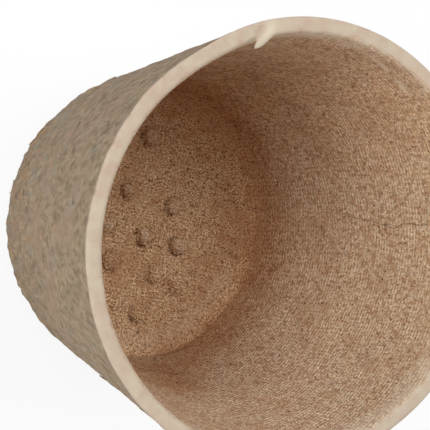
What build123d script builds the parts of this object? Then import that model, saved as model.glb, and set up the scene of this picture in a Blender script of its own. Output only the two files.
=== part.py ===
from build123d import *
import os
from math import atan, cos, hypot, radians, sin, tan

# Round tapered peat pot, pressed in one go from peat and wood fibre over a wire-screen former.
# The moulding is divided where its shape and finish change: the pressed rim, the tapered side wall,
# the rounded heel, the flat floor, and the nubs that the former's vent holes leave on the floor.
# Millimetres. The origin is the middle of the underside, with +Z up through the mouth.

# Tapered body
mouth_radius = 40.0  # outside of the rim at the very top
foot_radius = 28.0  # outside of the taper where it would meet the ground
pot_height = 66.0
wall_thickness = 3.1  # along the radius
floor_thickness = 3.0

# Pressed band round the mouth
rim_depth = 2.6
rim_outer_round = 0.6
rim_inner_round = 1.1

# Turn from the wall to the floor
heel_round = 6.4  # outside, down to the underside
corner_round = 2.8  # inside, down to the floor
heel_collar = 2.2  # straight wall that the heel carries above its roundings
floor_border = 1.2  # flat margin that the heel carries inside its roundings

# Nubs on the floor, in a cluster of one and a ring, with a wider ring about the pot's axis
nub_radius = 2.0
nub_height = 1.1
nub_round = 0.8
nub_clearance = 0.6  # least distance from a nub to the edge of the floor
cluster_x = -1.7
cluster_y = 2.6
inner_ring_radius = 8.6
outer_ring_radius = 17.4
# Each nub's bearing in degrees and its share of the ring's radius
inner_ring = ((40, 1.0), (115, 0.92), (172, 0.94), (229, 1.03), (298, 1.17), (350, 1.0))
outer_ring = ((-92, 0.98), (-55, 1.0), (-15, 1.0), (25, 1.0), (65, 1.0), (98, 1.04), (136, 0.99))

# Heights where the pieces meet
heel_top = max(heel_round, floor_thickness + corner_round) + heel_collar
rim_bottom = pot_height - rim_depth


def outer_radius(height):
    return foot_radius + (mouth_radius - foot_radius) * height / pot_height


def inner_radius(height):
    return outer_radius(height) - wall_thickness


# A rounding of the obtuse corner between floor and wall reaches this share of its radius along each side
taper = atan((mouth_radius - foot_radius) / pot_height)
rounding_reach = 1 / tan((radians(90) + taper) / 2)
underside_flat = foot_radius - heel_round * rounding_reach
inside_flat = inner_radius(floor_thickness) - corner_round * rounding_reach
floor_radius = min(underside_flat, inside_flat) - floor_border


def ring_places(centre_x, centre_y, radius, nubs):
    return [
        (centre_x + share * radius * cos(radians(bearing)), centre_y + share * radius * sin(radians(bearing)))
        for bearing, share in nubs
    ]


nub_places = [
    (x, y)
    for x, y in [
        (cluster_x, cluster_y),
        *ring_places(cluster_x, cluster_y, inner_ring_radius, inner_ring),
        *ring_places(0, 0, outer_ring_radius, outer_ring),
    ]
    if hypot(x, y) + nub_radius + nub_clearance <= floor_radius
]

os.makedirs("parts", exist_ok=True)

# Flat disc that the pot stands on
with BuildPart() as floor:
    with BuildSketch(Plane.XY):
        Circle(floor_radius)
    extrude(amount=floor_thickness)
floor.part.label = "floor"
export_step(floor.part, "parts/floor.step")

# Ring that turns from the floor up into the wall, rounded outside and inside
with BuildPart() as heel:
    with BuildSketch(Plane.XZ):
        with BuildLine():
            FilletPolyline(
                (floor_radius, 0),
                (foot_radius, 0),
                (outer_radius(heel_top), heel_top),
                (inner_radius(heel_top), heel_top),
                (inner_radius(floor_thickness), floor_thickness),
                (floor_radius, floor_thickness),
                radius=(0, heel_round, 0, 0, corner_round, 0),
                close=True,
            )
        make_face()
    revolve(axis=Axis.Z)
heel.part.label = "heel"
export_step(heel.part, "parts/heel.step")

# Tapered wall between the heel and the rim
with BuildPart() as side_wall:
    with BuildSketch(Plane.XZ):
        with BuildLine():
            Polyline(
                (outer_radius(heel_top), heel_top),
                (outer_radius(rim_bottom), rim_bottom),
                (inner_radius(rim_bottom), rim_bottom),
                (inner_radius(heel_top), heel_top),
                close=True,
            )
        make_face()
    revolve(axis=Axis.Z)
side_wall.part.label = "side_wall"
export_step(side_wall.part, "parts/side_wall.step")

# Pressed band round the mouth, flat on top with eased edges
with BuildPart() as rim:
    with BuildSketch(Plane.XZ):
        with BuildLine():
            FilletPolyline(
                (outer_radius(rim_bottom), rim_bottom),
                (mouth_radius, pot_height),
                (inner_radius(pot_height), pot_height),
                (inner_radius(rim_bottom), rim_bottom),
                radius=(0, rim_outer_round, rim_inner_round, 0),
                close=True,
            )
        make_face()
    revolve(axis=Axis.Z)
rim.part.label = "rim"
export_step(rim.part, "parts/rim.step")

# Low rounded nubs, each standing on the floor
with BuildPart() as floor_nubs:
    with BuildSketch(Plane.XY.offset(floor_thickness)):
        with Locations(*nub_places):
            Circle(nub_radius)
    extrude(amount=nub_height)
    fillet(floor_nubs.edges().group_by(Axis.Z)[-1], nub_round)
floor_nubs.part.label = "floor_nubs"
export_step(floor_nubs.part, "parts/floor_nubs.step")
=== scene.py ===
import math

import bpy
import numpy as np
from mathutils import Matrix, Vector, noise


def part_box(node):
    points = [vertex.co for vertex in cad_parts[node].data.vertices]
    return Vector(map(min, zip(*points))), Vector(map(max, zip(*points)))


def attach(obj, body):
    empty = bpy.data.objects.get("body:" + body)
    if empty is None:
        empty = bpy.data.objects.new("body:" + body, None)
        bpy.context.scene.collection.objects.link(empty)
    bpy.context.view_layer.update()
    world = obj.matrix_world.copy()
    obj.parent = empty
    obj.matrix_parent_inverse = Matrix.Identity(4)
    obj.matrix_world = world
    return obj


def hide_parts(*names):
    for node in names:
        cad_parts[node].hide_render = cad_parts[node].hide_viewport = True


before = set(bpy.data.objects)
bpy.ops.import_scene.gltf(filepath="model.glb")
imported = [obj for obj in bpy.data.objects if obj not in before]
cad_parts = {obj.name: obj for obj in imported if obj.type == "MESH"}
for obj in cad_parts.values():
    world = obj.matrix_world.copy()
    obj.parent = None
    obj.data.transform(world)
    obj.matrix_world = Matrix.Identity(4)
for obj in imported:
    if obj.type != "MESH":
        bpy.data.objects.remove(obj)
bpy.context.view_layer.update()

# Side wall
# The tapered body, peat and wood fibre sucked from slurry onto a wire-screen former, pressed and dried.
# The outside stays free felt, the inside takes the screen's imprint, and one drying crack runs up it.
MM = 0.001
COLUMNS = 480
floor_box, heel_box, wall_box, rim_box = (
    np.array(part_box(node)) / MM for node in ("floor", "heel", "side_wall", "rim")
)
wall_bottom, wall_top = wall_box[:, 2]
pot_height = rim_box[1, 2]
wall_thickness = 3.1
outer_ring_gap = 0.8
inner_ring_gap = 0.42
joint_hold = 0.06
slope = (wall_box[1, 0] - heel_box[1, 0]) / (wall_top - wall_bottom)
taper = math.atan(slope)
mouth_squeeze = 0.93
widest_bearing = math.radians(29.6)
# Where the mouth bulges or is dented besides: bearing and half width in degrees, and millimetres
mouth_bulges = ((106, 50, 0.85), (-53, 14, -0.55))
screen_pitch = 0.78
# Depth and size of the waves in each finish, in millimetres; the felt is drawn out along the wall
felt_waves = ((0.26, 13), (0.16, 4.2), (0.14, 1.4), (0.08, 0.8))
felt_draw = 0.45
imprint_waves = ((0.18, 12), (0.08, 4), (0.07, 1.5))
band_waves = ((0.08, 9), (0.02, 2.4))
felt_settling = 0.22
rougher_foot = 1.1
rough_foot_height = 16
# The crack and the small creases on the inside, by bearing in degrees and height
crack_depth = 0.07
# Strength of the painted shade in the crack
crack_shade_tone = 1.2
crack_path = (
    (191.3, 31.5), (190.4, 34.8), (189.9, 38.3), (188.9, 41.2), (188.2, 43.2), (187.8, 44.5),
    (188.4, 45.6), (189.5, 46.7), (189.8, 49.0), (189.4, 51.3), (190.0, 53.8), (189.5, 57.0),
)
crease_depth = 0.16
crease_reach = 0.42
# Strength of the painted shade in the creases
crease_shade_tone = 0.55
# How far from its ends the crack fades and columns are led to it, and how many are led and drawn close
crack_fades = (2, 4)
crack_leads = (8, 5)
led_columns = 22
pinched_columns = 2.5
pinch_share = 0.7
wall_creases = (
    ((-91.9, 24.7), (-92.0, 28.0), (-92.8, 30.6)),
    ((-145.1, 11.1), (-147.4, 10.4)),
    ((166.7, 12.2), (167.8, 13.2)),
    ((84.1, 15.5), (88.5, 16.6), (93.5, 16.9), (98.8, 18.6)),
    ((115.0, 17.2), (116.1, 20.1), (119.4, 21.9), (121.6, 23.8)),
)
faint_creases = (
    ((-166.5, 28.3), (-166.9, 30.6), (-168.0, 32.8)),
    ((-168.6, 29.1), (-170.6, 32.3), (-170.8, 33.9)),
)
faint_share = 0.4
# Painted shade: places deep in the pot are darker, their middles by bearing in degrees and height
deep_shade_routes = (
    ((-80, 14), (-100, 11), (-120, 10), (-145, 8), (-170, 8), (-195, 9)),
    ((140, 9), (115, 11), (98, 16), (87, 26)),
)
deep_shade_reach = 7.5
deep_shade_tone = 0.62
# Compacted fibre just below the mouth: its share by bearing in degrees, fading out down the wall, and smears
fade_shares = (
    (0, 0.6), (125, 0.5), (150, 0.4), (225, 0.25), (238, 0.12), (252, 0.25), (258, 0.6), (264, 0.4),
    (270, 0.8), (278, 0.95), (286, 0.8), (360, 0.6)
)
fade_depth = 5
smear_reach = 0.55
smear_share = 0.5
mouth_smears = (
    ((-97.0, 65.0), (-104.5, 64.0)),
    ((-108.0, 62.9), (-112.0, 62.2)),
    ((-113.0, 62.2), (-117.0, 61.6)),
    ((-122.0, 61.2), (-127.0, 60.6)),
)


def outer_radius(height):
    return heel_box[1, 0] + slope * (height - wall_bottom)


def inner_radius(height):
    return outer_radius(height) - wall_thickness


def out_of_round(bearing, height):
    """How far the pot stands out of round at a bearing in radians and a height."""
    at_mouth = mouth_squeeze * np.cos(2 * (bearing - widest_bearing))
    for middle, half_width, depth in mouth_bulges:
        off = np.remainder(np.degrees(bearing) - middle + 180, 360) - 180
        at_mouth = at_mouth + depth * np.exp(-((off / half_width) ** 2))
    return at_mouth * height / pot_height


def placed(bearing, radius, height):
    """A place from a bearing in degrees, a radius before the pot went out of round, and a height."""
    turn = math.radians(bearing)
    reach = radius + out_of_round(turn, height)
    return np.array((reach * math.cos(turn), reach * math.sin(turn), height))


def on_inner_wall(route):
    return [placed(bearing, inner_radius(height), height) for bearing, height in route]


def spaced(start, end, gap):
    """Points of a straight stretch of the section, from start to end, about a gap apart."""
    count = max(2, round(math.dist(start, end) / gap) + 1)
    return np.linspace(start, end, count)


def perlin(places, size):
    """Smooth noise, about one unit either way, with features of a size in millimetres."""
    values = [noise.noise(place) for place in (places.reshape(-1, 3) / size).tolist()]
    return np.array(values).reshape(places.shape[:-1])


def nearness(places, route, reach):
    """How near places are to a route of points: one on it, and fading to nothing beyond its reach."""
    nearest = np.full(places.shape[:-1], np.inf)
    for start, end in zip(route[:-1], route[1:]):
        stretch = end - start
        share = np.clip((places - start) @ stretch / (stretch @ stretch), 0, 1)
        off = np.linalg.norm(places - start - share[..., None] * stretch, axis=-1)
        nearest = np.minimum(nearest, off)
    return np.exp(-((nearest / reach) ** 2))


def nearest_of(places, routes, reach):
    return np.max([nearness(places, route, reach) for route in routes], axis=0)


def by_bearing(places, table):
    """Values from a table by bearing in degrees."""
    bearing = np.degrees(np.arctan2(places[..., 1], places[..., 0])) % 360
    return np.interp(bearing, *np.array(table).T)


def compacted(places):
    """Share of compacted fibre on the inside below the mouth."""
    fade = by_bearing(places, fade_shares)
    fade = fade * np.clip(1 - (pot_height - places[..., 2]) / fade_depth, 0, 1)
    smears = nearest_of(places, [on_inner_wall(path) for path in mouth_smears], smear_reach)
    return np.maximum(fade, smear_share * smears)


# Share of painted shade in the deep places of the inside
def deep_shade_at(places):
    return nearest_of(places, [on_inner_wall(route) for route in deep_shade_routes], deep_shade_reach)


def held(values, steps=0.0):
    """A run of values with one more next to each end, that far along to the neighbour."""
    start = values[0] + (values[1] - values[0]) * steps
    end = values[-1] + (values[-2] - values[-1]) * steps
    return np.concatenate([values[:1], [start], values[1:-1], [end], values[-1:]])


def section_run(points, inside):
    """Rows of radius, height, outward radius, outward height and share inside, along the section.
    A close row next to each end keeps the shading of the joint off the face that shows."""
    points = held(points, joint_hold)
    along = np.gradient(points, axis=0)
    along /= np.linalg.norm(along, axis=1, keepdims=True)
    return np.column_stack([points, along[:, 1], -along[:, 0], np.broadcast_to(inside, len(points))])


def even_bearings(run):
    return np.tile(np.arange(COLUMNS) * 2 * math.pi / COLUMNS, (len(run), 1))


def swept(run, bearings):
    """True places and outward ways of a section run swept round the axis, ring by ring."""
    ray = np.stack([np.cos(bearings), np.sin(bearings), np.zeros_like(bearings)], axis=-1)
    up = np.array((0.0, 0.0, 1.0))
    radius, height, out_radius, out_height = (run[:, i, None] for i in range(4))
    reach = radius + out_of_round(bearings, height)
    places = ray * reach[..., None] + up * height[..., None]
    outward = ray * out_radius[..., None] + up * out_height[..., None]
    return places, outward


def fibre_lift(places, inside, pressed):
    """How far the fibre stands proud of the true shape, in millimetres."""
    drawn = places * (1, 1, felt_draw)
    felt = sum(depth * perlin(drawn, size) for depth, size in felt_waves)
    rougher = rougher_foot * np.clip(1 - places[..., 2] / rough_foot_height, 0, 1)
    felt = (felt - felt_settling) * (1 + rougher)
    imprint = sum(depth * perlin(places, size) for depth, size in imprint_waves)
    band = sum(depth * perlin(places, size) for depth, size in band_waves)
    pressed = np.clip(pressed, 0, 1)
    return (1 - pressed) * ((1 - inside) * felt + inside * imprint) + pressed * band


def raised(places, outward, lift):
    """Places moved out by their lift, but never below the ground."""
    moved = places + outward * lift[..., None]
    moved[..., 2] = np.maximum(moved[..., 2], 0)
    return moved


def unrolled(bearings, run, straight_ring):
    """The tapered inside laid flat, in millimetres, with its seam at bearing zero."""
    steps = np.linalg.norm(np.diff(run[:, :2], axis=0), axis=1)
    along = np.append(0, np.cumsum(steps))
    slant = run[straight_ring, 0] / math.sin(taper) + along[straight_ring] - along[:, None]
    turn = (bearings[None, :] - math.pi) * math.sin(taper)
    return np.stack([slant * np.sin(turn), slant * np.cos(turn)], axis=-1)


def add_piece(name, mesh, material):
    mesh.materials.clear()
    mesh.materials.append(material)
    piece = bpy.data.objects.new(name, mesh)
    bpy.context.scene.collection.objects.link(piece)
    return piece


def turned_piece(name, run, places, marks, straight_ring=-1, has_poles=False, flat_rings=()):
    """A closed piece of moulded fibre from swept rings, with its marks and a map for the screen."""
    rings = len(run)
    corner = np.arange(rings * COLUMNS).reshape(rings, COLUMNS)
    beside = np.roll(corner, -1, axis=1)
    strips = rings - 1 if has_poles else rings
    low = np.arange(strips)
    high = (low + 1) % rings
    faces = np.stack([corner[low], beside[low], beside[high], corner[high]], axis=-1)
    face_list = faces.reshape(-1, 4).tolist()
    points = places.reshape(-1, 3)
    bearing = np.arange(COLUMNS + 1) * 2 * math.pi / COLUMNS
    flat = np.stack([run[:, :1] * np.cos(bearing), run[:, :1] * np.sin(bearing)], axis=-1)
    wrapped = unrolled(bearing, run, straight_ring)
    chart = np.empty((strips, COLUMNS, 4, 2))
    for strip in range(strips):
        source = flat if strip in flat_rings else wrapped
        near, far = source[low[strip]], source[high[strip]]
        chart[strip] = np.stack([near[:-1], near[1:], far[1:], far[:-1]], axis=1)
    chart = chart.reshape(-1, 2)
    marks = {key: values.ravel() for key, values in marks.items()}
    if has_poles:
        for ring, order in ((0, (1, 0)), (rings - 1, (0, 1))):
            pole = len(points)
            points = np.vstack([points, points[corner[ring]].mean(axis=0)])
            sides = np.stack([corner[ring], beside[ring]], axis=1)[:, order]
            face_list += [(*side, pole) for side in sides.tolist()]
            side_chart = np.stack([flat[ring, :-1], flat[ring, 1:]], axis=1)[:, order]
            fan_chart = np.concatenate([side_chart, np.zeros((COLUMNS, 1, 2))], axis=1)
            chart = np.vstack([chart, fan_chart.reshape(-1, 2)])
            marks = {key: np.append(values, values[corner[ring][0]]) for key, values in marks.items()}
    mesh = bpy.data.meshes.new(name)
    mesh.from_pydata((points * MM).tolist(), [], face_list)
    mesh.shade_smooth()
    for key, values in marks.items():
        mesh.attributes.new(key, "FLOAT", "POINT").data.foreach_set("value", values.astype(np.float32))
    mesh.uv_layers.new(name="screen_map").data.foreach_set("uv", chart.ravel().astype(np.float32))
    return add_piece(name, mesh, moulded_fibre)


def linear(hex_colour):
    """An sRGB hex colour as linear red, green, blue and alpha."""
    parts = [int(hex_colour[i:i + 2], 16) / 255 for i in (1, 3, 5)]
    return (*[p / 12.92 if p <= 0.04045 else ((p + 0.055) / 1.055) ** 2.4 for p in parts], 1.0)


def add_node(tree, kind, sockets=None, **settings):
    """One node with its settings, and its sockets given a value or linked to another node's output."""
    made = tree.nodes.new(kind)
    for key, value in settings.items():
        setattr(made, key, value)
    for key, value in (sockets or {}).items():
        if isinstance(value, bpy.types.NodeSocket):
            tree.links.new(value, made.inputs[key])
        else:
            made.inputs[key].default_value = value
    return made


def worked(tree, operation, *values):
    """A number worked out from others by one step of arithmetic."""
    return add_node(tree, "ShaderNodeMath", dict(enumerate(values)), operation=operation).outputs[0]


def vector_worked(tree, operation, *vectors):
    """A vector worked out from others by one step of arithmetic."""
    return add_node(tree, "ShaderNodeVectorMath", dict(enumerate(vectors)), operation=operation).outputs[0]


def scaled(tree, vector, share):
    return add_node(tree, "ShaderNodeVectorMath", {0: vector, "Scale": share}, operation="SCALE").outputs[0]


def stretched(tree, value, start, end, low=0.0, high=1.0):
    """A number that goes from low to high while a value goes from start to end."""
    sockets = {"Value": value, "From Min": start, "From Max": end, "To Min": low, "To Max": high}
    return add_node(tree, "ShaderNodeMapRange", sockets).outputs["Result"]


def blended(tree, share, number, other):
    """A number that goes a share of the way to another."""
    return add_node(tree, "ShaderNodeMix", {0: share, 2: number, 3: other}).outputs[0]


def tinted(tree, share, colour, other, blend="MIX"):
    """A colour that goes a share of the way to another."""
    sockets = {0: share, 6: colour, 7: other}
    return add_node(tree, "ShaderNodeMix", sockets, data_type="RGBA", blend_type=blend).outputs[2]


# Moulded peat and wood fibre, in its three finishes: felt left free, fibre pressed on a wire screen, and
# the compacted edge of the mouth. It is dull, warm and mottled everywhere, with no gloss at all.
moulded_fibre = bpy.data.materials.new("moulded_peat_fibre")
moulded_fibre.use_nodes = True
tree = moulded_fibre.node_tree
tree.nodes.clear()
place = add_node(tree, "ShaderNodeTexCoord").outputs["Object"]
chart = add_node(tree, "ShaderNodeUVMap", uv_map="screen_map").outputs["UV"]
# Marks on the pieces; two carry painted shade: one for the crack, creases, grooves and nubs, one for the
# deep places
inside, pressed, pale, crease_shade, deep_shade = (
    add_node(tree, "ShaderNodeAttribute", attribute_name=mark).outputs["Fac"]
    for mark in ("inside", "pressed", "pale", "crease_shade", "deep_shade")
)

# Noise over the whole pot, each by the size of its features in millimetres, spread to fill zero to one
drawn = add_node(
    tree, "ShaderNodeMapping", {"Vector": place, "Scale": (1, 1, felt_draw)}
).outputs["Vector"]
usual_noise = (0.29, 0.71)
shades = {}
for key, size, detail, where in (
    ("grit", 0.22, 1.5, place),
    ("fleck", 0.36, 1.5, place),
    ("speck", 0.55, 1.0, place),
    ("mottle", 0.75, 2.0, place),
    ("stain", 1.3, 2.0, place),
    ("matting", 1.7, 3.0, place),
    ("bloom", 2.6, 4.0, place),
    ("bite", 4.0, 2.0, place),
    ("cloud", 9.0, 3.0, place),
    ("lint", 0.3, 1.5, drawn),
    ("straw", 1.5, 2.0, drawn),
    ("rust", 1.3, 2.0, drawn),
    ("felting", 1.3, 3.0, drawn),
    ("moss", 2.4, 4.0, drawn),
    ("frost", 3.3, 4.0, drawn),
):
    spots = add_node(
        tree, "ShaderNodeTexNoise", {"Vector": where, "Scale": 1 / (size * MM), "Detail": detail}
    ).outputs["Fac"]
    shades[key] = stretched(tree, spots, *usual_noise)

# Screen imprint: two sets of threads that wander where the pulp pulled them, over grains of pulp
wander_size = 1.6
wander_reach = 0.6
screen_turn = math.radians(4)
wave_unit = 0.31416
warp_pitch = screen_pitch * 1.15
warp_share = 0.3
grain_size = 0.26
grain_draw = 0.75
grain_noise = (0.3, 0.7)
woven_shares = (0.15, 0.6)
wander = add_node(
    tree, "ShaderNodeTexNoise", {"Vector": chart, "Scale": 1 / wander_size, "Detail": 2.0}
).outputs["Color"]
wander = vector_worked(tree, "SUBTRACT", wander, (0.5, 0.5, 0.5))
wandered = vector_worked(tree, "ADD", chart, scaled(tree, wander, wander_reach))
on_screen = add_node(
    tree, "ShaderNodeMapping", {"Vector": wandered, "Rotation": (0, 0, screen_turn)}
).outputs["Vector"]
threads = {}
for key, direction, pitch in (("ribs", "Y", screen_pitch), ("warps", "X", warp_pitch)):
    threads[key] = add_node(
        tree,
        "ShaderNodeTexWave",
        {"Vector": on_screen, "Scale": wave_unit / pitch, "Distortion": 0.6, "Detail Scale": 1.5},
        bands_direction=direction,
    ).outputs["Fac"]
weave = blended(tree, warp_share, threads["ribs"], threads["warps"])
along_ribs = add_node(
    tree, "ShaderNodeMapping", {"Vector": on_screen, "Scale": (grain_draw, 1.0, 1.0)}
).outputs["Vector"]
grains = add_node(
    tree, "ShaderNodeTexNoise", {"Vector": along_ribs, "Scale": 1 / grain_size, "Detail": 1.5}
).outputs["Fac"]
grains = stretched(tree, grains, *grain_noise)
woven_share = stretched(tree, shades["bite"], 0, 1, *woven_shares)

# Where on the pot: one side is redder, the far side is plainer, the foot is coarser, and the floor took
# little of the weave
warm_side = (-10 * MM, -28 * MM)
plain_side = (-18 * MM, -36 * MM)
plain_share = 0.62
foot_heights = (6 * MM, 32 * MM)
foot_flecks = (1.32, 0.95)
corner_heights = (4 * MM, 9 * MM)
floor_weave = 0.35
axes = add_node(tree, "ShaderNodeSeparateXYZ", {0: place}).outputs
height = axes["Z"]
shades["warmth"] = stretched(tree, axes["Y"], *warm_side)
near_foot = stretched(tree, height, *foot_heights, *foot_flecks)
shades["top_stain"] = worked(tree, "MULTIPLY", shades["stain"], shades["warmth"])
for key in ("rust", "straw", "frost", "lint"):
    shades[key] = worked(tree, "MULTIPLY", shades[key], near_foot)
above_floor = stretched(tree, height, *corner_heights, floor_weave, 1)
woven_share = worked(tree, "MULTIPLY", woven_share, above_floor)
shades["mottle"] = worked(tree, "MULTIPLY", shades["mottle"], above_floor)
inside_height = blended(tree, woven_share, grains, weave)
bite_share = stretched(tree, axes["X"], *plain_side, 1.0, plain_share)
inside_height = blended(tree, bite_share, 0.5, inside_height)

# Free felt is matted, with a little lint
lint_share = 0.2
felt_height = blended(tree, lint_share, shades["felting"], shades["lint"])

# Colour of each finish from its own relief, as stops from the hollows to the crests
# On the inside the dark hollows and pale crests are partly the fibre's own colour and partly painted shade
# and highlight
tones = {}
for key, value, stops in (
    ("inside", inside_height, ((0.15, "#8F6143"), (0.5, "#D3B795"), (0.85, "#F4EBD9"))),
    ("felt", felt_height, ((0.2, "#756551"), (0.5, "#8B7964"), (0.8, "#9A8973"))),
    ("band", shades["bloom"], ((0.1, "#B7A18F"), (0.5, "#BAA996"), (0.9, "#BFB19D"))),
):
    ramp = add_node(tree, "ShaderNodeValToRGB", {"Fac": value})
    ramp.color_ramp.elements.new(0.5)
    for stop, (position, colour) in zip(ramp.color_ramp.elements, stops):
        stop.position = position
        stop.color = linear(colour)
    tones[key] = ramp.outputs["Color"]

# Flecks and stains: where a shade is above a share, the colour goes part of the way to another
for key, shade, low, high, share, colour in (
    ("inside", "warmth", 0.0, 1.0, 0.3, "#F0BE90"),
    ("inside", "matting", 0.6, 0.9, 0.3, "#DFD0BB"),
    ("inside", "bloom", 0.5, 0.95, 0.4, "#B28059"),
    ("inside", "cloud", 0.5, 1.0, 0.4, "#B48C6A"),
    ("inside", "stain", 0.6, 0.95, 0.25, "#B5815A"),
    ("inside", "top_stain", 0.6, 0.95, 0.3, "#9A6A45"),
    ("inside", "mottle", 0.45, 0.85, 0.6, "#946946"),
    ("inside", "fleck", 0.72, 0.92, 0.6, "#7A5238"),
    ("inside", "speck", 0.88, 0.98, 0.8, "#64402A"),
    ("felt", "cloud", 0.45, 0.85, 0.6, "#96806E"),
    ("felt", "moss", 0.55, 0.9, 0.5, "#82745B"),
    ("felt", "frost", 0.66, 0.95, 0.4, "#8B8B80"),
    ("felt", "straw", 0.7, 1.0, 0.45, "#AC997B"),
    ("felt", "rust", 0.8, 1.0, 0.5, "#956A4B"),
    # The dark lint flecks stand for the felt's pits: painted shade
    ("felt", "lint", 0.78, 0.98, 0.45, "#5C4D3B"),
    ("band", "cloud", 0.55, 1.0, 0.3, "#BDA28E"),
):
    here = stretched(tree, shades[shade], low, high, 0, share)
    tones[key] = tinted(tree, here, tones[key], linear(colour))

# Tints: the band's edge inside and the tongue are paler, the floor is browner, and deep places take painted
# shade
# Just inside the mouth the band is painted paler: partly compacted fibre and partly painted light on the
# rounding that turns away from the lamps
pale_heights = ((pot_height - 1.4) * MM, (pot_height - 0.4) * MM)
below_edge = stretched(tree, height, *pale_heights, 1.0, 0.0)
down_inside = worked(tree, "MULTIPLY", below_edge, inside)
for share, colour in ((down_inside, "#EADBC4"), (pale, "#CDC1AC")):
    tones["band"] = tinted(tree, share, tones["band"], linear(colour))
on_floor = worked(tree, "SUBTRACT", 1.0, above_floor)
deep_shade_share = worked(tree, "MULTIPLY", deep_shade, deep_shade_tone)
for share, colour in ((on_floor, "#FFEAD1"), (deep_shade_share, "#D2AA86")):
    tones["inside"] = tinted(tree, share, tones["inside"], linear(colour), "MULTIPLY")

# The finishes together, with painted shade, broken into crumbs, in the crack, creases and grooves and on the
# nubs, and their relief in millimetres
felt_relief = 0.6
band_relief = 0.15
crumb_noise = (0.4, 0.64)
least_crumbs = 0.3
relief_depth = 0.19
sides_colour = tinted(tree, inside, tones["felt"], tones["inside"])
felt_height = blended(tree, felt_relief, 0.5, felt_height)
sides_height = blended(tree, inside, felt_height, inside_height)
ragged = worked(tree, "ADD", shades["bloom"], 0.5)
band_share = add_node(
    tree, "ShaderNodeMath", {0: ragged, 1: pressed}, operation="MULTIPLY", use_clamp=True
).outputs[0]
fibre_colour = tinted(tree, band_share, sides_colour, tones["band"])
crumbs = stretched(tree, shades["fleck"], *crumb_noise, least_crumbs, 1)
crumbled_shade = worked(tree, "MULTIPLY", crease_shade, crumbs)
# Painted shade, dark brown, in the crack, creases and grooves and on the nubs
fibre_colour = tinted(tree, crumbled_shade, fibre_colour, linear("#643A14"))
band_height = blended(tree, band_relief, 0.5, shades["grit"])
fibre_height = blended(tree, band_share, sides_height, band_height)
relief = add_node(
    tree, "ShaderNodeBump", {"Height": fibre_height, "Strength": 1.0, "Distance": relief_depth * MM}
).outputs["Normal"]
shader = add_node(
    tree,
    "ShaderNodeBsdfPrincipled",
    {"Base Color": fibre_colour, "Normal": relief, "Roughness": 0.95, "Specular IOR Level": 0.15},
)
add_node(tree, "ShaderNodeOutputMaterial", {"Surface": shader.outputs["BSDF"]})

wall_outer = section_run(
    spaced((outer_radius(wall_bottom), wall_bottom), (outer_radius(wall_top), wall_top), outer_ring_gap),
    0.0,
)
wall_inner = section_run(
    spaced((inner_radius(wall_top), wall_top), (inner_radius(wall_bottom), wall_bottom), inner_ring_gap),
    1.0,
)
wall_run = np.concatenate([wall_outer, wall_inner])
wall_bearings = even_bearings(wall_run)

# One column of the inside is led along the crack and drawn close to its neighbours
crack_bearings, crack_heights = np.array(crack_path).T
crack_column = round(crack_bearings.mean() / 360 * COLUMNS)
columns_off = np.arange(COLUMNS) - crack_column
heights = wall_run[:, 1]
is_inner = wall_run[:, 4]
cracked = is_inner * np.clip((heights - crack_heights[0]) / crack_fades[0], 0, 1)
cracked *= np.clip((crack_heights[-1] - heights) / crack_fades[1], 0, 1)
swing = np.radians(np.interp(heights, crack_heights, crack_bearings)) - wall_bearings[:, crack_column]
swing *= is_inner * np.clip((heights - crack_heights[0]) / crack_leads[0] + 1, 0, 1)
swing *= np.clip((crack_heights[-1] - heights) / crack_leads[1] + 1, 0, 1)
wall_bearings += swing[:, None] * np.exp(-((columns_off / led_columns) ** 2))
pinch = pinch_share * np.exp(-((columns_off / pinched_columns) ** 2))
pinch *= columns_off * 2 * math.pi / COLUMNS
wall_bearings -= cracked[:, None] * pinch
on_crack = cracked[:, None] * (columns_off == 0)

wall_places, wall_outward = swept(wall_run, wall_bearings)
wall_inside = np.broadcast_to(is_inner[:, None], wall_bearings.shape)
creased = nearest_of(wall_places, [on_inner_wall(path) for path in wall_creases], crease_reach)
faintly = nearest_of(wall_places, [on_inner_wall(path) for path in faint_creases], crease_reach)
creased = wall_inside * np.maximum(creased, faint_share * faintly)
wall_pressed = wall_inside * compacted(wall_places)
wall_lift = fibre_lift(wall_places, wall_inside, wall_pressed)
wall_lift -= crack_depth * on_crack + crease_depth * creased
side_wall = turned_piece(
    "side_wall_fibre",
    wall_run,
    raised(wall_places, wall_outward, wall_lift),
    {
        "inside": wall_inside,
        "pressed": wall_pressed,
        # Painted shade in the crack and the creases
        "crease_shade": np.maximum(crack_shade_tone * on_crack, crease_shade_tone * creased),
        "deep_shade": deep_shade_at(wall_places),
    },
    straight_ring=len(wall_outer),
)
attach(side_wall, "root")
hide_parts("side_wall")

# Heel
# The ring where the wall turns into the floor, of the same fibre, rounded outside by the slurry's own skin
# and inside by the former's end. Its inner corner is wrinkled where the screen was folded over that end.
heel_round = 6.4
corner_round = 2.8
floor_top = floor_box[1, 2]
floor_radius = floor_box[1, 0]
foot_radius = outer_radius(0)
rounding_reach = 1 / math.tan((math.pi / 2 + taper) / 2)
# How far the inner corner stands out past its true radius, by bearing in degrees
corner_wander = (
    (0, 0.3), (60, 0.8), (117, 1.5), (133, -0.1), (154, 0.7), (183, -0.6), (216, 0.8), (300, 0.0), (360, 0.3)
)
# How far the inner corner is filled beyond its rounding, by bearing in degrees
corner_fill = ((0, 0.3), (60, -0.3), (150, -0.4), (190, 0.4), (230, 1.3), (290, 1.4), (330, 0.8), (360, 0.3))
corner_depth = 2.6
# Strength of the painted shade in the corner creases
corner_shade_tone = 0.7
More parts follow.
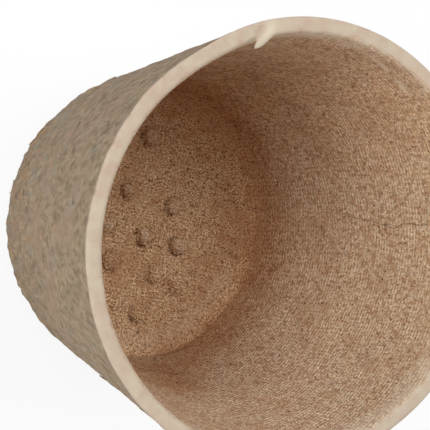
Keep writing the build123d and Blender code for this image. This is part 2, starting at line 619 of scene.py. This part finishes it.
# A pale band along one side of the floor's edge, a painted highlight for the lit side of a raised bead, by
# bearing in degrees, radius and height
floor_bead = ((88, 22.8, 3.0), (105, 23.2, 3.0), (125, 23.1, 3.0), (145, 22.8, 3.0), (158, 22.5, 3.0))
bead_reach = 1.5
bead_highlight_share = 0.17
wrinkle_wave = (0.5, 2.8)
corner_creases = (
    ((-164.2, 24.3, 3.0), (-166.5, 25.6, 3.4), (-167.7, 25.9, 5.5)),
    ((-133.9, 24.2, 3.0), (-137.0, 23.2, 3.0)),
    ((-141.9, 25.6, 3.9), (-148.2, 25.1, 3.0)),
    ((92.1, 25.9, 5.7), (98.0, 26.0, 6.5), (104.3, 26.1, 7.0), (111.4, 26.1, 6.8), (117.1, 26.1, 7.1)),
    ((168.8, 21.6, 3.0), (169.1, 23.4, 3.0), (167.1, 24.7, 3.0), (162.9, 25.5, 3.3)),
)


def bead_highlight(places):
    """Share of the painted highlight along the bead at the edge of the floor."""
    return bead_highlight_share * nearness(places, [placed(*point) for point in floor_bead], bead_reach)


def rounding(corner_radius, corner_height, round_radius, gap):
    """Points of the round between the floor and the wall, from the floor up."""
    centre_radius = corner_radius - round_radius * rounding_reach
    count = max(6, round(round_radius * (math.pi / 2 - taper) / gap))
    turn = np.linspace(-math.pi / 2, -taper, count)
    heights = corner_height + round_radius * (1 + np.sin(turn))
    return np.stack([centre_radius + round_radius * np.cos(turn), heights], axis=1)


def corner_push(places):
    """How far the inside near the corner is pushed from the axis, and how far it is raised."""
    radius = np.hypot(places[..., 0], places[..., 1])
    off_corner = np.hypot(radius - inner_radius(floor_top), places[..., 2] - floor_top)
    close = np.exp(-((off_corner / corner_depth) ** 2))
    fill = by_bearing(places, corner_fill) + wrinkle_wave[0] * perlin(places, wrinkle_wave[1])
    return close * by_bearing(places, corner_wander), close * fill


def pushed_out(places, push):
    """Places moved straight away from the axis."""
    ray = places * (1, 1, 0)
    return places + ray / np.linalg.norm(ray, axis=-1, keepdims=True) * push[..., None]


heel_curve = rounding(foot_radius, 0, heel_round, outer_ring_gap)
corner_curve = rounding(inner_radius(floor_top), floor_top, corner_round, inner_ring_gap)[::-1]
heel_outer = section_run(
    np.vstack([
        spaced((floor_radius, 0), heel_curve[0], outer_ring_gap)[:-1],
        heel_curve,
        spaced(heel_curve[-1], (outer_radius(wall_bottom), wall_bottom), outer_ring_gap)[1:],
    ]),
    0.0,
)
floor_margin = spaced(corner_curve[-1], (floor_radius, floor_top), inner_ring_gap)[1:]
heel_inner = section_run(
    np.vstack([
        spaced((inner_radius(wall_bottom), wall_bottom), corner_curve[0], inner_ring_gap)[:-1],
        corner_curve,
        floor_margin,
    ]),
    1.0,
)
heel_run = np.concatenate([heel_outer, heel_inner])
heel_places, heel_outward = swept(heel_run, even_bearings(heel_run))
heel_inside = np.broadcast_to(heel_run[:, 4, None], heel_places.shape[:2])
heel_push, heel_fill = corner_push(heel_places)
heel_creased = heel_inside * nearest_of(
    heel_places, [[placed(*point) for point in path] for path in corner_creases], crease_reach
)
heel_lift = fibre_lift(heel_places, heel_inside, 0.0)
heel_lift += heel_inside * heel_fill - crease_depth * heel_creased
heel_bent = pushed_out(raised(heel_places, heel_outward, heel_lift), heel_inside * heel_push)
heel = turned_piece(
    "heel_fibre",
    heel_run,
    heel_bent,
    {
        "inside": heel_inside,
        # The bead's pale band is a painted highlight
        "pressed": heel_inside * bead_highlight(heel_places),
        # Painted shade in the corner creases
        "crease_shade": corner_shade_tone * heel_creased,
        "deep_shade": deep_shade_at(heel_places),
    },
    straight_ring=len(heel_outer),
    flat_rings=range(len(heel_run) - len(floor_margin) - len(corner_curve) // 2, len(heel_run)),
)
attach(heel, "root")
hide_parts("heel")

# Floor
# The flat disc that the pot stands on, the same fibre, left rough underneath and pressed on the screen of
# the former's end inside, where it sinks a little round each nub.
pole_radius = 0.4
groove_depth = 0.2
groove_reach = 0.5
groove_gap = 0.9
# Painted shade in the groove round each nub, heavier toward this bearing, where less light falls
shade_bearing = math.radians(50)
groove_breaks = (0.45, 1.5)
side_shade_tone = 0.6
faint_tone = 0.6
# Nubs and their grooves are fainter on one side: from and to this place along y, and down to this share
thin_side = (5, 12, 0.4)
nub_width = 3.7
nub_apart = 4.2


def nub_middles():
    """Where the nubs stand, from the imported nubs, which are apart from each other."""
    vertices = np.array([v.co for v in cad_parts["floor_nubs"].data.vertices]) / MM
    middles = []
    while len(vertices):
        near = np.hypot(*(vertices[:, :2] - vertices[0, :2]).T) < nub_apart
        middles.append((vertices[near].min(axis=0) + vertices[near].max(axis=0))[:2] / 2)
        vertices = vertices[~near]
    return np.array(middles)


nubs = nub_middles()
floor_under = section_run(spaced((pole_radius, 0), (floor_radius, 0), outer_ring_gap), 0.0)
floor_inner = section_run(spaced((floor_radius, floor_top), (pole_radius, floor_top), inner_ring_gap), 1.0)
floor_run = np.concatenate([floor_under, floor_inner])
floor_places, floor_outward = swept(floor_run, even_bearings(floor_run))
floor_inside = np.broadcast_to(floor_run[:, 4, None], floor_places.shape[:2])
floor_push, floor_fill = corner_push(floor_places)
off_nubs = floor_places[..., None, :2] - nubs
off_nub = np.hypot(off_nubs[..., 0], off_nubs[..., 1])
shade_way = np.array((math.cos(shade_bearing), math.sin(shade_bearing)))
toward_shade = np.take_along_axis(off_nubs @ shade_way / np.maximum(off_nub, 0.1), off_nub.argmin(-1)[..., None], -1)
off_nub = off_nub.min(axis=-1)
thin_start, thin_end, thin_share = thin_side
nub_share = np.interp(floor_places[..., 1], (thin_start, thin_end), (1, thin_share))
groove = floor_inside * np.exp(-(((off_nub - nub_width / 2) / groove_reach) ** 2))
groove *= np.clip(groove_breaks[0] + groove_breaks[1] * perlin(floor_places, groove_gap), 0, 1)
floor_lift = fibre_lift(floor_places, floor_inside, 0.0)
floor_lift += floor_inside * floor_fill - groove_depth * groove
# Painted shade in the grooves round the nubs, heavier on one side
groove_shade = (faint_tone + (1 - faint_tone) * nub_share) * groove * (1 + side_shade_tone * toward_shade[..., 0])
floor = turned_piece(
    "floor_fibre",
    floor_run,
    pushed_out(raised(floor_places, floor_outward, floor_lift), floor_inside * floor_push),
    {
        "inside": floor_inside,
        # The bead's pale band is a painted highlight
        "pressed": floor_inside * bead_highlight(floor_places),
        "crease_shade": groove_shade,
        "deep_shade": deep_shade_at(floor_places),
    },
    has_poles=True,
    flat_rings=range(len(floor_run)),
)
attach(floor, "root")
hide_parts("floor")

# Floor nubs
# Small lumps of the same fibre, drawn up into the vent holes of the former's end as the pot was sucked on.
# Each is a soft dome with a coarse skin, no two alike, rooted in the floor; one side takes painted shade,
# and the crown is paler, partly compacted fibre and partly a painted highlight.
nub_height = 1.15
nub_root = 0.7
nub_squareness = 0.9
nub_lump_size = 1.0
nub_lump_depth = 1.5
nub_sizes = (0.8, 1.1)
nub_shoulder = 0.7
nub_crown_share = 0.3
# Painted shade on the nubs: a little all round and more on one side
nub_shade_tone = 0.1
nub_side_shade_tone = 0.45
nub_seed = 5


def geometry_tree(name, inputs):
    """A geometry tree with named number inputs and a material, and its group input and output."""
    made = bpy.data.node_groups.new(name, "GeometryNodeTree")
    made.interface.new_socket("Geometry", in_out="INPUT", socket_type="NodeSocketGeometry")
    for label in inputs:
        made.interface.new_socket(label, in_out="INPUT", socket_type="NodeSocketFloat")
    made.interface.new_socket("Material", in_out="INPUT", socket_type="NodeSocketMaterial")
    made.interface.new_socket("Geometry", in_out="OUTPUT", socket_type="NodeSocketGeometry")
    return made, add_node(made, "NodeGroupInput").outputs


def from_parts(tree, **parts):
    """A vector from its parts along the axes."""
    return add_node(tree, "ShaderNodeCombineXYZ", parts).outputs[0]


def chance(tree, low, high, seed):
    """A random number from low to high for each point."""
    sockets = {2: low, 3: high, "Seed": seed}
    return add_node(tree, "FunctionNodeRandomValue", sockets, data_type="FLOAT").outputs[1]


def stored(tree, geometry, name, value, **settings):
    """The geometry with a value kept on it under a name."""
    sockets = {"Geometry": geometry, "Name": name, "Value": value}
    return add_node(tree, "GeometryNodeStoreNamedAttribute", sockets, **settings).outputs["Geometry"]


def finish_tree(tree, geometry, material):
    """The end of a geometry tree, where the geometry gets its material."""
    sockets = {"Geometry": geometry, "Material": material}
    whole = add_node(tree, "GeometryNodeSetMaterial", sockets).outputs["Geometry"]
    add_node(tree, "NodeGroupOutput", {"Geometry": whole})


def grown(name, source, tree, values):
    """The plain mesh that a geometry tree makes from a source mesh with its inputs set."""
    holder = bpy.data.objects.new(name, source)
    bpy.context.scene.collection.objects.link(holder)
    modifier = holder.modifiers.new(name, "NODES")
    modifier.node_group = tree
    for item in tree.interface.items_tree:
        if item.in_out == "INPUT" and item.name in values:
            modifier[item.identifier] = values[item.name]
    depsgraph = bpy.context.evaluated_depsgraph_get()
    mesh = bpy.data.meshes.new_from_object(
        holder.evaluated_get(depsgraph), preserve_all_data_layers=True, depsgraph=depsgraph
    )
    mesh.name = name
    mesh.shade_smooth()
    bpy.data.objects.remove(holder)
    bpy.data.meshes.remove(source)
    return mesh


tree, given = geometry_tree("nub_tree", ("Radius", "Height", "Root", "Lump Size", "Lump Depth"))
place = add_node(tree, "GeometryNodeInputPosition").outputs["Position"]
ball = add_node(tree, "GeometryNodeMeshIcoSphere", {"Radius": 1.0, "Subdivisions": 5}).outputs["Mesh"]
level = vector_worked(tree, "MULTIPLY", place, (1, 1, 0))
wide = add_node(tree, "ShaderNodeVectorMath", {0: level}, operation="LENGTH").outputs["Value"]
wide = worked(tree, "MAXIMUM", wide, 0.01)
wide = worked(tree, "POWER", wide, nub_squareness - 1)
wide = worked(tree, "MULTIPLY", wide, given["Radius"])
spread = scaled(tree, level, wide)
upright = add_node(tree, "ShaderNodeSeparateXYZ", {0: place}).outputs["Z"]
crown = worked(tree, "MAXIMUM", upright, 0.0)
crown = worked(tree, "POWER", crown, nub_squareness)
crown = worked(tree, "MULTIPLY", crown, given["Height"])
root = worked(tree, "MINIMUM", upright, 0.0)
stand = worked(tree, "MULTIPLY_ADD", root, given["Root"], crown)
stand = from_parts(tree, Z=stand)
dome_place = vector_worked(tree, "ADD", spread, stand)
# Painted shade on each nub, heavier on its side toward the shaded bearing
toward_shade = add_node(
    tree, "ShaderNodeVectorMath", {0: level, 1: (*shade_way, 0)}, operation="DOT_PRODUCT"
).outputs["Value"]
toward_shade = worked(tree, "MULTIPLY_ADD", toward_shade, nub_side_shade_tone, nub_shade_tone)
ball = stored(tree, ball, "crease_shade", toward_shade)
dome = add_node(
    tree, "GeometryNodeSetPosition", {"Geometry": ball, "Position": dome_place}
).outputs["Geometry"]
size = chance(tree, *nub_sizes, nub_seed)
aside = add_node(tree, "ShaderNodeSeparateXYZ", {0: place}).outputs["Y"]
lower = stretched(tree, aside, thin_start * MM, thin_end * MM, 1.0, thin_share)
lower = worked(tree, "MULTIPLY", size, lower)
size = from_parts(tree, X=size, Y=size, Z=lower)
stood = add_node(
    tree, "GeometryNodeInstanceOnPoints", {"Points": given["Geometry"], "Instance": dome, "Scale": size}
).outputs["Instances"]
whole = add_node(tree, "GeometryNodeRealizeInstances", {"Geometry": stood}).outputs["Geometry"]
per_lump = worked(tree, "DIVIDE", 1.0, given["Lump Size"])
lumps = add_node(
    tree, "ShaderNodeTexNoise", {"Vector": place, "Scale": per_lump, "Detail": 4.0}
).outputs["Color"]
lumps = vector_worked(tree, "SUBTRACT", lumps, (0.5, 0.5, 0.5))
lumps = scaled(tree, lumps, given["Lump Depth"])
whole = add_node(tree, "GeometryNodeSetPosition", {"Geometry": whole, "Offset": lumps}).outputs["Geometry"]
# The crowns are paler: partly compacted fibre and partly a painted highlight on the tops that face the lamps
on_top = add_node(tree, "ShaderNodeSeparateXYZ", {0: place}).outputs["Z"]
crown_heights = ((floor_top + nub_shoulder * nub_height) * MM, (floor_top + nub_height) * MM)
on_top = stretched(tree, on_top, *crown_heights, 0, nub_crown_share)
for mark, value in (("inside", 1.0), ("pressed", on_top), ("pale", on_top)):
    whole = stored(tree, whole, mark, value)
in_mm = scaled(tree, place, 1 / MM)
whole = stored(tree, whole, "screen_map", in_mm, data_type="FLOAT2", domain="CORNER")
finish_tree(tree, whole, given["Material"])

nub_points = bpy.data.meshes.new("nub_points")
nub_points.from_pydata([(x * MM, y * MM, floor_top * MM) for x, y in nubs], [], [])
nub_mesh = grown(
    "floor_nubs_fibre",
    nub_points,
    tree,
    {
        "Radius": nub_width / 2 * MM,
        "Height": nub_height * MM,
        "Root": nub_root * MM,
        "Lump Size": nub_lump_size * MM,
        "Lump Depth": nub_lump_depth * MM,
        "Material": moulded_fibre,
    },
)
floor_nubs = add_piece("floor_nubs_fibre", nub_mesh, moulded_fibre)
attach(floor_nubs, "root")
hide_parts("floor_nubs")

# Rim
# The compacted band round the mouth, where the pulp was pressed between former and ring: paler, denser and
# almost smooth on top, with an eased outer edge, a softer inner one and one tongue of pulp folded inwards.
rim_outer_round = 0.6
rim_inner_round = 1.1
edge_steps = 6
rim_ring_gap = 0.3
tongue_ridge = ((-74.1, 38.2, 66.0), (-73.0, 37.4, 66.0), (-71.8, 36.7, 65.5))
tongue_reach = 1.0
tongue_lift = 0.2
tongue_tip = (-69.4, 35.5, 65.1)
fold_line = ((-71.0, 38.4, 66.0), (-69.2, 37.3, 66.0), (-67.1, 36.5, 65.6))
fold_reach = 0.7
fold_depth = 0.3
# Strength of the painted shade in the fold's groove
fold_shade_tone = 0.2
tongue_edge = (2.4, 0.4)
tongue_start = 0.2
tongue_fade = 0.6
# Share of compacted fibre: full on top, and where it starts at the outer edge and over the inner one
full_band = 2.0
outer_band = 0.3
inner_band = 1.3
worn_shares = (0.5, 0.8)


def edge_round(corner, start_angle, end_angle, centre):
    turn = np.linspace(start_angle, end_angle, edge_steps)
    return np.stack([centre[0] + corner * np.cos(turn), centre[1] + corner * np.sin(turn)], axis=1)


outer_centre = (
    outer_radius(pot_height) - rim_outer_round * (1 + math.sin(taper)) / math.cos(taper),
    pot_height - rim_outer_round,
)
inner_centre = (
    inner_radius(pot_height) + rim_inner_round * (1 - math.sin(taper)) / math.cos(taper),
    pot_height - rim_inner_round,
)
outer_edge = edge_round(rim_outer_round, -taper, math.pi / 2, outer_centre)
inner_edge = edge_round(rim_inner_round, math.pi / 2, math.pi - taper, inner_centre)
rim_up = spaced((outer_radius(wall_top), wall_top), outer_edge[0], outer_ring_gap)[:-1]
rim_flat = spaced(outer_edge[-1], inner_edge[0], rim_ring_gap)[1:-1]
rim_down = spaced(inner_edge[-1], (inner_radius(wall_top), wall_top), inner_ring_gap)[1:]
rim_inside = np.concatenate([
    np.zeros(len(rim_up) + len(outer_edge)),
    np.full(len(rim_flat), 0.5),
    np.linspace(0.5, 1, len(inner_edge)),
    np.ones(len(rim_down)),
])
band = np.concatenate([
    np.zeros(len(rim_up)),
    np.linspace(outer_band, full_band, len(outer_edge)),
    np.full(len(rim_flat), full_band),
    np.linspace(inner_band, 0.0, len(inner_edge)),
    np.zeros(len(rim_down)),
])
rim_points = np.vstack([rim_up, outer_edge, rim_flat, inner_edge, rim_down])
rim_run = section_run(rim_points, held(rim_inside))
rim_places, rim_outward = swept(rim_run, even_bearings(rim_run))
rim_inside = np.broadcast_to(rim_run[:, 4, None], rim_places.shape[:2])
ridge = nearness(rim_places, [placed(*point) for point in tongue_ridge], tongue_reach)
tongue_root = placed(*tongue_ridge[-1])
folded = nearness(rim_places, [tongue_root, placed(*tongue_ridge[1])], tongue_reach)
folded = np.clip(tongue_edge[0] * folded - tongue_edge[1], 0, 1)
tongue_top = placed(*tongue_ridge[1])[2] + tongue_start
folded *= np.clip((tongue_top - rim_places[..., 2]) / tongue_fade, 0, 1)
fold = nearness(rim_places, [placed(*point) for point in fold_line], fold_reach)
worn = worn_shares[0] + worn_shares[1] * by_bearing(rim_places, fade_shares)
worn = np.where(rim_inside > 0.5, worn, 1)
rim_pressed = np.maximum(worn * held(band)[:, None], rim_inside * compacted(rim_places))
rim_pressed = np.maximum(rim_pressed, full_band * ridge)
rim_lift = fibre_lift(rim_places, rim_inside, rim_pressed)
rim_lift += tongue_lift * ridge - fold_depth * fold
rim_bent = raised(rim_places, rim_outward, rim_lift)
rim_bent += folded[..., None] * (placed(*tongue_tip) - tongue_root)
rim = turned_piece(
    "rim_fibre",
    rim_run,
    rim_bent,
    # The fold's groove takes painted shade
    {"inside": rim_inside, "pressed": rim_pressed, "pale": ridge, "crease_shade": fold_shade_tone * fold},
)
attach(rim, "root")
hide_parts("rim")

# Loose fibres
# Wood and moss fibres that were left half sunk in the felt of the outside, where no former pressed them.
# They lie mostly round the pot, and are straw, tan, rust and grey.
fibre_count_per_mm2 = 0.025
fibre_length = 3.8
fibre_thickness = 0.22
fibre_arch = 0.12
fibre_bends = (-0.5, -0.15, 0.2, 0.55)
fibre_stray = 1.3
fibre_sizes = (0.35, 1.1)
fibre_seed = 12
skin_start = 0.3

loose_fibre = bpy.data.materials.new("loose_wood_fibre")
loose_fibre.use_nodes = True
tree = loose_fibre.node_tree
tree.nodes.clear()
tone = add_node(tree, "ShaderNodeAttribute", attribute_name="tone").outputs["Fac"]
ramp = add_node(tree, "ShaderNodeValToRGB", {"Fac": tone})
ramp.color_ramp.interpolation = "CONSTANT"
for position, colour in (
    (0.0, "#9B8B70"), (0.35, "#AB987A"), (0.55, "#8E7C63"), (0.8, "#936D4C"), (0.9, "#7B6B57")
):
    if position > 0:
        stop = ramp.color_ramp.elements.new(position)
    else:
        stop = ramp.color_ramp.elements[0]
    stop.color = linear(colour)
ramp.color_ramp.elements.remove(ramp.color_ramp.elements[-1])
shader = add_node(
    tree,
    "ShaderNodeBsdfPrincipled",
    {"Base Color": ramp.outputs["Color"], "Roughness": 0.9, "Specular IOR Level": 0.2},
)
add_node(tree, "ShaderNodeOutputMaterial", {"Surface": shader.outputs["BSDF"]})

tree, given = geometry_tree("fibre_tree", ("Density", "Length", "Thickness", "Arch"))
half = worked(tree, "MULTIPLY", given["Length"], 0.5)
back_half = worked(tree, "MULTIPLY", half, -1.0)
sunk = worked(tree, "MULTIPLY", given["Thickness"], -0.5)
start = from_parts(tree, X=back_half, Z=sunk)
end = from_parts(tree, X=half, Z=sunk)
girth = worked(tree, "MULTIPLY", given["Thickness"], 0.5)
section = add_node(
    tree, "GeometryNodeCurvePrimitiveCircle", {"Resolution": 4, "Radius": girth}
).outputs["Curve"]
kinds = add_node(tree, "GeometryNodeGeometryToInstance")
for bend in fibre_bends:
    side = worked(tree, "MULTIPLY", half, bend)
    bow = from_parts(tree, Y=side, Z=given["Arch"])
    line = add_node(
        tree,
        "GeometryNodeCurveQuadraticBezier",
        {"Resolution": 5, "Start": start, "Middle": bow, "End": end},
    ).outputs["Curve"]
    strand = add_node(
        tree, "GeometryNodeCurveToMesh", {"Curve": line, "Profile Curve": section, "Fill Caps": True}
    ).outputs["Mesh"]
    tree.links.new(strand, kinds.inputs[0])
scatter = add_node(
    tree,
    "GeometryNodeDistributePointsOnFaces",
    {"Mesh": given["Geometry"], "Density": given["Density"], "Seed": fibre_seed},
)
tone = chance(tree, 0.0, 1.0, fibre_seed + 1)
points = stored(tree, scatter.outputs["Points"], "tone", tone)
place = add_node(tree, "GeometryNodeInputPosition").outputs["Position"]
round_way = vector_worked(tree, "CROSS_PRODUCT", (0, 0, 1), place)
laid = add_node(
    tree, "FunctionNodeAlignRotationToVector", {"Vector": scatter.outputs["Normal"]}, axis="Z"
).outputs["Rotation"]
laid = add_node(
    tree,
    "FunctionNodeAlignRotationToVector",
    {"Rotation": laid, "Vector": round_way},
    axis="X",
    pivot_axis="Z",
).outputs["Rotation"]
stray = chance(tree, -fibre_stray, fibre_stray, fibre_seed + 2)
stray = from_parts(tree, Z=stray)
stray = add_node(tree, "FunctionNodeEulerToRotation", {0: stray}).outputs[0]
laid = add_node(
    tree, "FunctionNodeRotateRotation", {"Rotation": laid, "Rotate By": stray}, rotation_space="LOCAL"
).outputs["Rotation"]
size = chance(tree, *fibre_sizes, fibre_seed + 3)
pick = add_node(
    tree,
    "FunctionNodeRandomValue",
    {4: 0, 5: len(fibre_bends) - 1, "Seed": fibre_seed + 4},
    data_type="INT",
).outputs[2]
strewn = add_node(
    tree,
    "GeometryNodeInstanceOnPoints",
    {
        "Points": points,
        "Instance": kinds.outputs[0],
        "Pick Instance": True,
        "Instance Index": pick,
        "Rotation": laid,
        "Scale": size,
    },
).outputs["Instances"]
whole = add_node(tree, "GeometryNodeRealizeInstances", {"Geometry": strewn}).outputs["Geometry"]
finish_tree(tree, whole, given["Material"])

wall_bent = raised(wall_places, wall_outward, wall_lift)[:len(wall_outer)]
under_rings = np.sum(heel_outer[:, 1] < skin_start)
skin_rings = np.concatenate([heel_bent[under_rings:len(heel_outer)], wall_bent[1:]])
ring_count = len(skin_rings)
corner = np.arange(ring_count * COLUMNS).reshape(ring_count, COLUMNS)
beside = np.roll(corner, -1, axis=1)
skin_faces = np.stack([corner[:-1], beside[:-1], beside[1:], corner[1:]], axis=-1).reshape(-1, 4)
skin = bpy.data.meshes.new("felt_skin")
skin.from_pydata((skin_rings.reshape(-1, 3) * MM).tolist(), [], skin_faces.tolist())
fibre_mesh = grown(
    "loose_fibres",
    skin,
    tree,
    {
        "Density": fibre_count_per_mm2 / MM**2,
        "Length": fibre_length * MM,
        "Thickness": fibre_thickness * MM,
        "Arch": fibre_arch * MM,
        "Material": loose_fibre,
    },
)
loose_fibres = add_piece("loose_fibres", fibre_mesh, loose_fibre)
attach(loose_fibres, "root")

# Ground and white surround
# A plain pale floor under the pot, white to the camera, that keeps the pot's shadow.
ground_reach = 1.5
shadow_share = 0.12
ground_mesh = bpy.data.meshes.new("ground")
ground_mesh.from_pydata(
    [(x, y, -0.1 * MM) for x, y in ((-1, -1), (1, -1), (1, 1), (-1, 1))], [], [(0, 1, 2, 3)]
)
ground_mesh.transform(Matrix.Diagonal((ground_reach, ground_reach, 1, 1)))
paper = bpy.data.materials.new("white_paper")
ground = bpy.data.objects.new("ground", ground_mesh)
bpy.context.scene.collection.objects.link(ground)
ground_mesh.materials.append(paper)
world = bpy.data.worlds.new("white_surround")
bpy.context.scene.world = world


def seen_rays(tree):
    """One for rays from the camera, from gloss or through glass, and nothing for rays that light the pot."""
    rays = add_node(tree, "ShaderNodeLightPath").outputs
    seen = rays["Is Camera Ray"]
    for kind in ("Is Glossy Ray", "Is Transmission Ray"):
        seen = worked(tree, "MAXIMUM", seen, rays[kind])
    return seen


paper.use_nodes = True
tree = paper.node_tree
tree.nodes.clear()
kept_white = add_node(
    tree, "ShaderNodeMath", {0: seen_rays(tree), 1: 1 - shadow_share}, operation="MULTIPLY"
)
dull = add_node(tree, "ShaderNodeBsdfDiffuse", {"Color": linear("#F2F2F2")})
glow = add_node(tree, "ShaderNodeEmission", {"Color": (1, 1, 1, 1), "Strength": 1.0})
lit = add_node(
    tree, "ShaderNodeMixShader", {0: kept_white.outputs[0], 1: dull.outputs[0], 2: glow.outputs[0]}
)
under = add_node(tree, "ShaderNodeNewGeometry").outputs["Backfacing"]
clear = add_node(tree, "ShaderNodeBsdfTransparent")
side = add_node(tree, "ShaderNodeMixShader", {0: under, 1: lit.outputs[0], 2: clear.outputs[0]})
add_node(tree, "ShaderNodeOutputMaterial", {"Surface": side.outputs[0]})

world.use_nodes = True
tree = world.node_tree
tree.nodes.clear()
soft = add_node(tree, "ShaderNodeBackground", {"Color": (1, 1, 1, 1), "Strength": 0.15})
white = add_node(tree, "ShaderNodeBackground", {"Color": (1, 1, 1, 1), "Strength": 1.0})
mixed = add_node(tree, "ShaderNodeMixShader", {0: seen_rays(tree), 1: soft.outputs[0], 2: white.outputs[0]})
add_node(tree, "ShaderNodeOutputWorld", {"Surface": mixed.outputs[0]})

# Studio light
# Four softboxes: the key from the viewer's side, one over it, one high up behind and one low at the side.
mouth = Vector((0, 0, pot_height * MM))
softbox_distance = 0.9
softbox_size = 0.6
for name, off_upright, bearing, watts in (
    ("key_softbox", 48, -15, 4.6),
    ("top_softbox", 28, -60, 2.1),
    ("back_softbox", 36, -150, 5.2),
    ("side_softbox", 80, 50, 3.8),
):
    lean = math.radians(off_upright)
    turn = math.radians(bearing)
    way = Vector((math.sin(lean) * math.cos(turn), math.sin(lean) * math.sin(turn), math.cos(lean)))
    softbox = bpy.data.lights.new(name, "AREA")
    softbox.shape = "SQUARE"
    softbox.size = softbox_size
    softbox.energy = watts
    softbox_object = bpy.data.objects.new(name, softbox)
    softbox_object.location = mouth + way * softbox_distance
    softbox_object.rotation_mode = "QUATERNION"
    softbox_object.rotation_quaternion = (-way).to_track_quat("-Z", "Y")
    bpy.context.scene.collection.objects.link(softbox_object)

# Camera
# A long lens that looks down into the mouth, turned so that the mouth points to the right of the picture.
PICTURE = 430
focal_pixels = 2400
off_axis = math.radians(30.389)
roll = math.radians(6.843)
mouth_distance = 0.41903
mouth_pixel = (297.67, 241.42)
back = Vector((math.sin(off_axis), 0, math.cos(off_axis)))
right = (Vector((0, 0, 1)) - back * back.z).normalized()
upright = Matrix((right, back.cross(right), back))
middle = PICTURE / 2
mouth_aim = Vector((mouth_pixel[0] - middle, middle - mouth_pixel[1], -focal_pixels)).normalized()
aimed = Vector((0, 0, -1)).rotation_difference(mouth_aim).to_matrix()
to_camera = aimed @ Matrix.Rotation(-roll, 3, "Z") @ upright
camera = bpy.data.cameras.new("camera")
camera.sensor_width = 36
camera.lens = camera.sensor_width * focal_pixels / PICTURE
camera.clip_start = 0.01
camera_object = bpy.data.objects.new("camera", camera)
camera_place = Matrix.Translation(mouth + back * mouth_distance)
camera_object.matrix_world = camera_place @ to_camera.transposed().to_4x4()
bpy.context.scene.collection.objects.link(camera_object)
bpy.context.scene.camera = camera_object

bpy.context.scene.view_settings.view_transform = "Standard"
